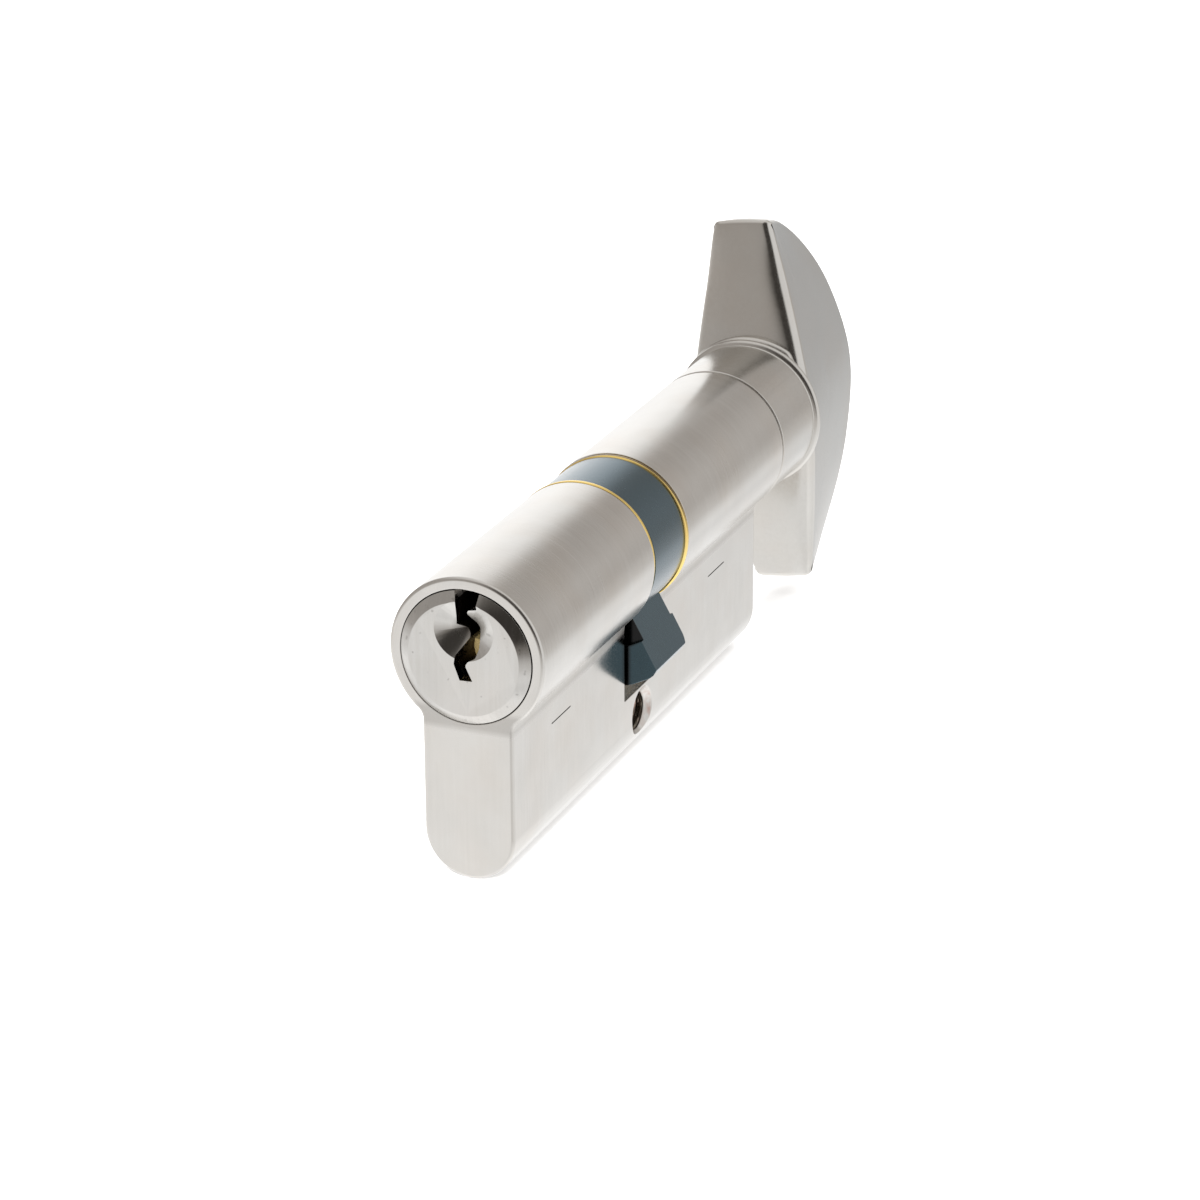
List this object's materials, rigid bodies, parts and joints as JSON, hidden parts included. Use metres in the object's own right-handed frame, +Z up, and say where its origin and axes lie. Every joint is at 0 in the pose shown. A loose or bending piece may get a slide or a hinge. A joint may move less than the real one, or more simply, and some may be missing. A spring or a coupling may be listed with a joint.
{
  "type": "thumb-turn euro profile cylinder",
  "caption": "Euro profile lock cylinder with a keyway on one side, a tapered thumb-turn knob on the other and a cam lever in the central gap.",
  "frame": {"origin": "centre of the cross-drilled fixing hole, on the web's middle plane, below the middle of the cam", "axes": "+Y along the cylinder from the key side to the knob, +Z up from the web to the barrel, +X across, along the fixing hole"},
  "size_m": [0.018, 0.1056, 0.047],
  "materials": {
    "satin_nickel": "satin nickel plate on brass, fine straight brushing",
    "knob_nickel": "satin nickel plate, soft polished edges",
    "plug_nickel": "satin nickel plate, vertical brushing on the face",
    "brass": "bare turned brass",
    "blued_steel": "grey-blue oxide on sintered steel, satin",
    "steel": "plain steel, semi-bright",
    "black_steel": "black oxide"
  },
  "bodies": {
    "housing": {"cylinder_body": "satin_nickel", "bore_cap_1": "satin_nickel", "bore_cap_2": "satin_nickel", "bore_cap_3": "satin_nickel", "bore_cap_4": "satin_nickel", "bore_cap_5": "satin_nickel", "pin_spring_1": "steel", "pin_spring_2": "steel", "pin_spring_3": "steel", "pin_spring_4": "steel", "pin_spring_5": "steel"},
    "plug": {"key_plug": "plug_nickel", "front_retaining_clip": "brass"},
    "turn": {"turn_spindle": "brass", "turn_knob": "knob_nickel", "knob_grub_screw": "black_steel", "rear_retaining_clip": "brass", "clutch_spring": "steel"},
    "cam_ring": {"cam": "blued_steel"},
    "front_coupler": {"front_clutch": "steel"},
    "rear_coupler": {"rear_clutch": "steel"},
    "key_pin_body_1": {"key_pin_1": "brass"},
    "driver_pin_body_1": {"driver_pin_1": "brass"},
    "key_pin_body_2": {"key_pin_2": "brass"},
    "driver_pin_body_2": {"driver_pin_2": "brass"},
    "key_pin_body_3": {"key_pin_3": "brass"},
    "driver_pin_body_3": {"driver_pin_3": "brass"},
    "key_pin_body_4": {"key_pin_4": "brass"},
    "driver_pin_body_4": {"driver_pin_4": "brass"},
    "key_pin_body_5": {"key_pin_5": "brass"},
    "driver_pin_body_5": {"driver_pin_5": "brass"}
  },
  "joints": [
    {"name": "plug_turn", "type": "hinge", "parent": "housing", "child": "plug", "pos_m": [0, -0.02, 0.019], "axis": [0, 1, 0], "continuous": true},
    {"name": "knob_turn", "type": "hinge", "parent": "housing", "child": "turn", "pos_m": [0, 0.02, 0.019], "axis": [0, 1, 0], "continuous": true},
    {"name": "cam_turn", "type": "hinge", "parent": "housing", "child": "cam_ring", "pos_m": [0, 0, 0.019], "axis": [0, 1, 0], "continuous": true},
    {"name": "front_coupler_slide", "type": "slide", "parent": "plug", "child": "front_coupler", "axis": [0, 1, 0], "range_m": [0, 0.0022], "stiffness_N_per_m": 200, "springref_m": -0.0002},
    {"name": "rear_coupler_slide", "type": "slide", "parent": "turn", "child": "rear_coupler", "axis": [0, 1, 0], "range_m": [0, 0.0022], "deforming": ["clutch_spring"]},
    {"name": "key_pin_slide_1", "type": "slide", "parent": "plug", "child": "key_pin_body_1", "axis": [0, 0, 1], "range_m": [0, 0.0005]},
    {"name": "key_pin_slide_2", "type": "slide", "parent": "plug", "child": "key_pin_body_2", "axis": [0, 0, 1], "range_m": [0, 0.0016]},
    {"name": "key_pin_slide_3", "type": "slide", "parent": "plug", "child": "key_pin_body_3", "axis": [0, 0, 1], "range_m": [0, 0.001]},
    {"name": "key_pin_slide_4", "type": "slide", "parent": "plug", "child": "key_pin_body_4", "axis": [0, 0, 1], "range_m": [0, 0.0022]},
    {"name": "key_pin_slide_5", "type": "slide", "parent": "plug", "child": "key_pin_body_5", "axis": [0, 0, 1], "range_m": [0, 0.0013]},
    {"name": "driver_pin_slide_1", "type": "slide", "parent": "housing", "child": "driver_pin_body_1", "axis": [0, 0, 1], "range_m": [-0.003, 0], "stiffness_N_per_m": 50, "springref_m": 0.0002, "deforming": ["pin_spring_1"]},
    {"name": "driver_pin_slide_2", "type": "slide", "parent": "housing", "child": "driver_pin_body_2", "axis": [0, 0, 1], "range_m": [-0.003, 0], "stiffness_N_per_m": 50, "springref_m": 0.0002, "deforming": ["pin_spring_2"]},
    {"name": "driver_pin_slide_3", "type": "slide", "parent": "housing", "child": "driver_pin_body_3", "axis": [0, 0, 1], "range_m": [-0.003, 0], "stiffness_N_per_m": 50, "springref_m": 0.0002, "deforming": ["pin_spring_3"]},
    {"name": "driver_pin_slide_4", "type": "slide", "parent": "housing", "child": "driver_pin_body_4", "axis": [0, 0, 1], "range_m": [-0.003, 0], "stiffness_N_per_m": 50, "springref_m": 0.0002, "deforming": ["pin_spring_4"]},
    {"name": "driver_pin_slide_5", "type": "slide", "parent": "housing", "child": "driver_pin_body_5", "axis": [0, 0, 1], "range_m": [-0.003, 0], "stiffness_N_per_m": 50, "springref_m": 0.0002, "deforming": ["pin_spring_5"]}
  ],
  "couplings": [
    {"joint": "cam_turn", "follows": "knob_turn", "ratio": 1},
    {"joint": "rear_coupler_slide", "follows": "front_coupler_slide", "ratio": 1}
  ]
}
